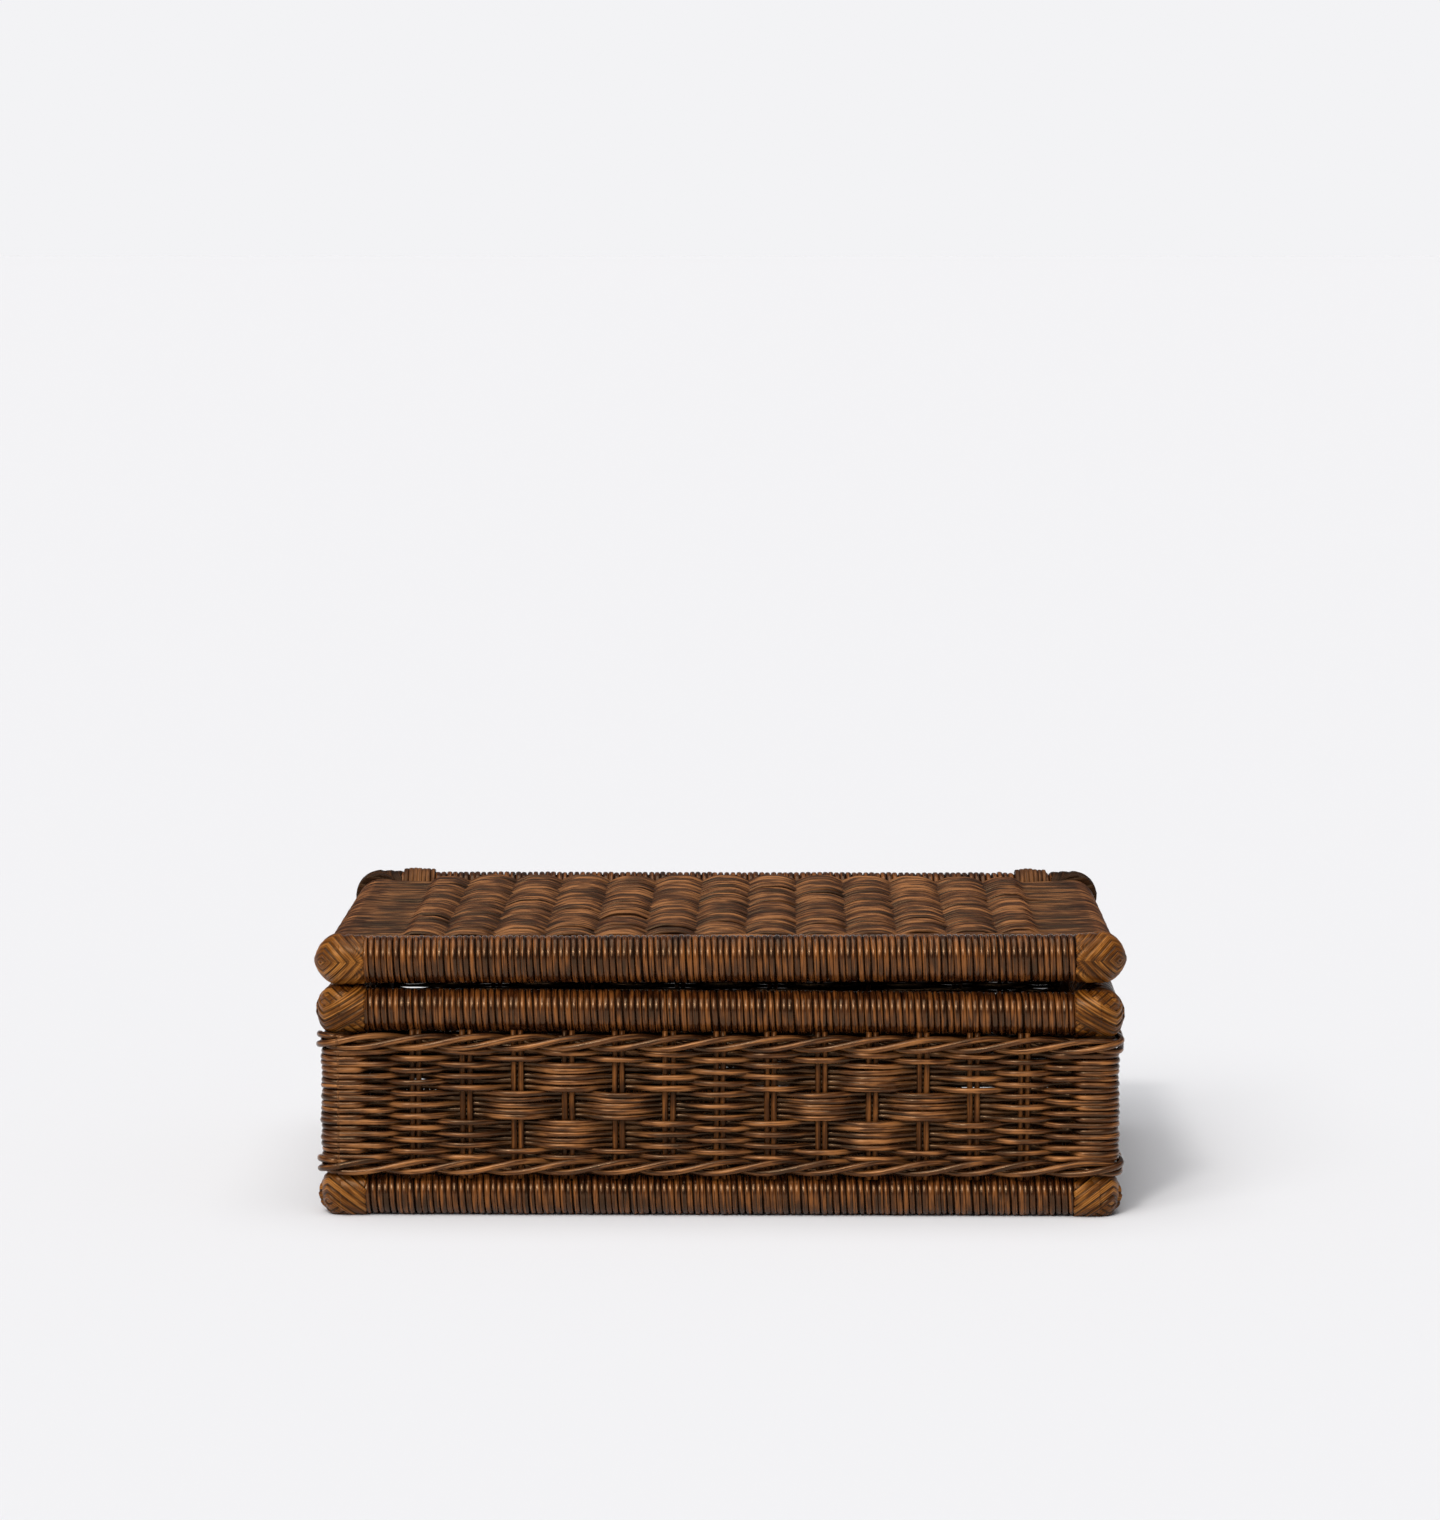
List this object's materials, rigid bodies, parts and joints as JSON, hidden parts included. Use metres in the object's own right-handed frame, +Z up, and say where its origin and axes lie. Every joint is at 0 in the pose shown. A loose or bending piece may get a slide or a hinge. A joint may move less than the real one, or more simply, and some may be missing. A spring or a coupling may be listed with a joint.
{
  "type": "laundry hamper with lid",
  "caption": "Low rectangular woven rattan hamper box with a lid hinged along its back rail, on cane-bound pole frames.",
  "frame": {"origin": "middle of the box's footprint, on the surface that it stands on", "axes": "+Z up, the front faces -Y, the lid hinges along the back at +Y, +X to the right of someone facing the front"},
  "size_m": [0.4628, 0.3237, 0.1615],
  "materials": {
    "pole": "satin",
    "binding_cane": "gloss",
    "corner_cane": "gloss",
    "lid_weave": "satin",
    "wall_weave": "gloss",
    "stake_rod": "satin",
    "wale_rod": "gloss",
    "lashing_cane": "gloss",
    "nail_steel": "satin"
  },
  "bodies": {
    "basket": {"base_front_pole": "pole", "base_back_pole": "pole", "base_left_pole": "pole", "base_right_pole": "pole", "rim_front_pole": "pole", "rim_back_pole": "pole", "rim_left_pole": "pole", "rim_right_pole": "pole", "base_front_binding": "binding_cane", "base_back_binding": "binding_cane", "base_left_binding": "binding_cane", "base_right_binding": "binding_cane", "rim_front_binding": "binding_cane", "rim_back_binding": "binding_cane", "rim_left_binding": "binding_cane", "rim_right_binding": "binding_cane", "base_corner_wrap_front_left": "corner_cane", "base_corner_wrap_front_right": "corner_cane", "base_corner_wrap_back_left": "corner_cane", "base_corner_wrap_back_right": "corner_cane", "rim_corner_wrap_front_left": "corner_cane", "rim_corner_wrap_front_right": "corner_cane", "rim_corner_wrap_back_left": "corner_cane", "rim_corner_wrap_back_right": "corner_cane", "base_corner_nails": "nail_steel", "rim_corner_nails": "nail_steel", "corner_post_front_left": "pole", "corner_post_front_right": "pole", "corner_post_back_left": "pole", "corner_post_back_right": "pole", "front_stakes": "stake_rod", "back_stakes": "stake_rod", "left_stakes": "stake_rod", "right_stakes": "stake_rod", "front_wall_weave": "wall_weave", "back_wall_weave": "wall_weave", "left_wall_weave": "wall_weave", "right_wall_weave": "wall_weave", "lower_wale": "wale_rod", "upper_wale": "wale_rod", "base_panel_ribs": "stake_rod", "base_panel_weave": "wall_weave", "hinge_lashing_left": "lashing_cane", "hinge_lashing_right": "lashing_cane"},
    "lid": {"lid_front_pole": "pole", "lid_back_pole": "pole", "lid_left_pole": "pole", "lid_right_pole": "pole", "lid_front_binding": "binding_cane", "lid_back_binding": "binding_cane", "lid_left_edge_strands": "lid_weave", "lid_right_edge_strands": "lid_weave", "lid_corner_wrap_front_left": "corner_cane", "lid_corner_wrap_front_right": "corner_cane", "lid_corner_wrap_back_left": "corner_cane", "lid_corner_wrap_back_right": "corner_cane", "lid_corner_nails": "nail_steel", "lid_panel_ribs": "stake_rod", "lid_panel_weave": "lid_weave"}
  },
  "joints": [
    {"name": "lid_hinge", "type": "hinge", "parent": "basket", "child": "lid", "pos_m": [0, 0.147, 0.146], "axis": [-1, 0, 0], "range_deg": [0, 180]}
  ]
}
